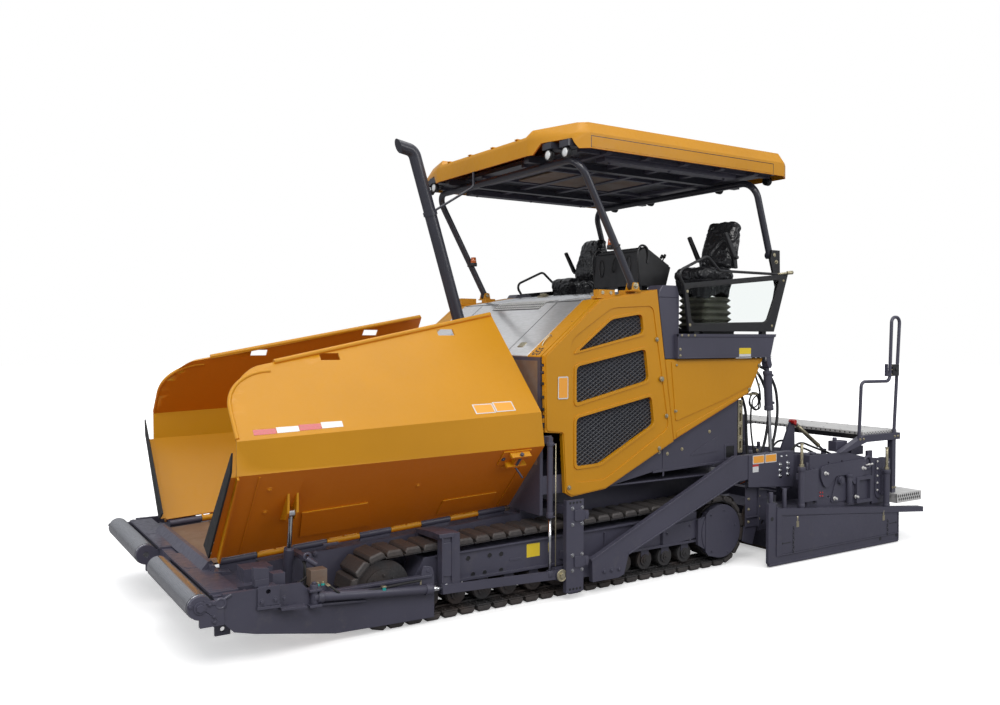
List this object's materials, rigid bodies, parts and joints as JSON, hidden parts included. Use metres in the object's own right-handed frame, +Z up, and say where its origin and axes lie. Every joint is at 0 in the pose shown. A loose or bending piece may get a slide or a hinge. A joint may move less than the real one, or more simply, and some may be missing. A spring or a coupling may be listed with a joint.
{
  "type": "asphalt paver",
  "caption": "Tracked asphalt paver with tipping hopper wings, twin conveyors, canopy over the operator platform, augers and a bolt-on screed on tow arms.",
  "frame": {"origin": "middle of the footprint, on the ground", "axes": "+Z up, -Y is the direction of paving, +X towards the machine's left side"},
  "size_m": [3.04, 7.68, 3.9217],
  "materials": {
    "body_paint": "satin",
    "frame_paint": "satin",
    "canopy_paint": "satin",
    "black_paint": "satin",
    "hood_metal": "glossy",
    "roller_steel": "satin",
    "track_steel": "matte",
    "worn_steel": "matte",
    "rod_chrome": "polished",
    "zinc": "satin",
    "mesh_black": "matte",
    "rubber_black": "matte",
    "pane": "clear",
    "plastic_black": "matte",
    "lamp_lens": "clear",
    "walkway_board": "satin",
    "engine_iron": "matte"
  },
  "bodies": {
    "tractor": {"auger_bracket": "frame_paint", "canopy_frame": "frame_paint", "canopy_lights": "lamp_lens", "canopy_roof": "canopy_paint", "chassis_frame": "frame_paint", "console": "plastic_black", "conveyor_deck": "worn_steel", "conveyor_slats": "worn_steel", "cylinder_brackets": "frame_paint", "dash_cabinet": "frame_paint", "engine_block": "engine_iron", "exhaust_pipe": "frame_paint", "final_drive_covers": "frame_paint", "front_bumper": "frame_paint", "front_guards": "frame_paint", "grab_rails": "black_paint", "guide_posts": "frame_paint", "hood_center": "hood_metal", "hood_sides": "body_paint", "hopper_bulkhead": "frame_paint", "platform_deck": "frame_paint", "platform_side_boxes": "frame_paint", "rear_body": "frame_paint", "rear_hoses": "rubber_black", "rear_side_panels": "body_paint", "screen_frames": "black_paint", "seat_bases": "rubber_black", "seats": "plastic_black", "side_glass": "pane", "side_skirts": "frame_paint", "slotted_brackets": "zinc", "tow_point_gear": "frame_paint", "track_frames": "frame_paint", "track_left": "track_steel", "track_right": "track_steel", "track_rollers": "track_steel"},
    "hopper_wing_left": {"hopper_wing_left": "body_paint", "hopper_flap_left": "rubber_black"},
    "hopper_wing_right": {"hopper_wing_right": "body_paint", "hopper_flap_right": "rubber_black"},
    "hopper_barrel_left": {"hopper_barrel_left": "frame_paint"},
    "hopper_barrel_right": {"hopper_barrel_right": "frame_paint"},
    "hopper_rod_left": {"hopper_rod_left": "rod_chrome"},
    "hopper_rod_right": {"hopper_rod_right": "rod_chrome"},
    "push_roller_left": {"push_roller_left": "roller_steel"},
    "push_roller_right": {"push_roller_right": "roller_steel"},
    "side_door_left": {"side_door_left": "body_paint", "door_grilles_left": "mesh_black"},
    "side_door_right": {"side_door_right": "body_paint", "door_grilles_right": "mesh_black"},
    "auger_left": {"auger_left": "track_steel"},
    "auger_right": {"auger_right": "track_steel"},
    "screed": {"tow_arms": "frame_paint", "screed_plate": "worn_steel", "screed_frame": "frame_paint", "end_gates": "frame_paint", "screed_walkway": "walkway_board", "screed_handrails": "frame_paint"},
    "lift_barrels": {"lift_barrels": "frame_paint"},
    "lift_rods": {"lift_rods": "rod_chrome"}
  },
  "joints": [
    {"name": "hopper_wing_left_fold", "type": "hinge", "parent": "tractor", "child": "hopper_wing_left", "pos_m": [0.76, -3.459, 0.555], "axis": [0, 0.9984, 0.0562], "range_deg": [-10, 36]},
    {"name": "hopper_barrel_left_swing", "type": "hinge", "parent": "tractor", "child": "hopper_barrel_left", "pos_m": [0.905, -3.01704, 0.33], "axis": [0, 0.9984, 0.0562], "range_deg": [-9, 27]},
    {"name": "hopper_rod_left_slide", "type": "slide", "parent": "hopper_barrel_left", "child": "hopper_rod_left", "axis": [0.2998, -0.0536, 0.9525], "range_m": [-0.155, 0.046]},
    {"name": "hopper_wing_right_fold", "type": "hinge", "parent": "tractor", "child": "hopper_wing_right", "pos_m": [-0.76, -3.459, 0.555], "axis": [0, -0.9984, -0.0562], "range_deg": [-10, 36]},
    {"name": "hopper_barrel_right_swing", "type": "hinge", "parent": "tractor", "child": "hopper_barrel_right", "pos_m": [-0.905, -3.01704, 0.33], "axis": [0, -0.9984, -0.0562], "range_deg": [-9, 27]},
    {"name": "hopper_rod_right_slide", "type": "slide", "parent": "hopper_barrel_right", "child": "hopper_rod_right", "axis": [-0.2998, -0.0536, 0.9525], "range_m": [-0.155, 0.046]},
    {"name": "push_roller_left_spin", "type": "hinge", "parent": "tractor", "child": "push_roller_left", "pos_m": [0.8, -3.76, 0.445], "axis": [1, 0, 0], "continuous": true},
    {"name": "push_roller_right_spin", "type": "hinge", "parent": "tractor", "child": "push_roller_right", "pos_m": [-0.8, -3.76, 0.445], "axis": [1, 0, 0], "continuous": true},
    {"name": "auger_left_spin", "type": "hinge", "parent": "tractor", "child": "auger_left", "pos_m": [0.6, 1.64, 0.352], "axis": [1, 0, 0], "continuous": true},
    {"name": "auger_right_spin", "type": "hinge", "parent": "tractor", "child": "auger_right", "pos_m": [-0.6, 1.64, 0.352], "axis": [1, 0, 0], "continuous": true},
    {"name": "side_door_left_hinge", "type": "hinge", "parent": "tractor", "child": "side_door_left", "pos_m": [1.207, -0.965, 1.5], "axis": [0, 0, -1], "range_deg": [0, 90]},
    {"name": "side_door_right_hinge", "type": "hinge", "parent": "tractor", "child": "side_door_right", "pos_m": [-1.207, -0.965, 1.5], "axis": [0, 0, 1], "range_deg": [0, 90]},
    {"name": "screed_lift", "type": "hinge", "parent": "tractor", "child": "screed", "pos_m": [0, -0.857, 0.212], "axis": [1, 0, 0], "range_deg": [0, 6]},
    {"name": "lift_barrels_swing", "type": "hinge", "parent": "tractor", "child": "lift_barrels", "pos_m": [0, 1.671, 1.88], "axis": [1, 0, 0], "range_deg": [-8, 1]},
    {"name": "lift_rods_slide", "type": "slide", "parent": "lift_barrels", "child": "lift_rods", "axis": [0, 0.0692, -0.9976], "range_m": [-0.274, 0.004]}
  ],
  "couplings": [
    {"joint": "hopper_barrel_left_swing", "follows": "hopper_wing_left_fold", "ratio": 0.7222},
    {"joint": "hopper_rod_left_slide", "follows": "hopper_wing_left_fold", "m_per_rad": -0.2405},
    {"joint": "hopper_barrel_right_swing", "follows": "hopper_wing_right_fold", "ratio": 0.7222},
    {"joint": "hopper_rod_right_slide", "follows": "hopper_wing_right_fold", "m_per_rad": -0.2405},
    {"joint": "lift_barrels_swing", "follows": "screed_lift", "ratio": -1.0437},
    {"joint": "lift_rods_slide", "follows": "screed_lift", "m_per_rad": -2.579}
  ]
}
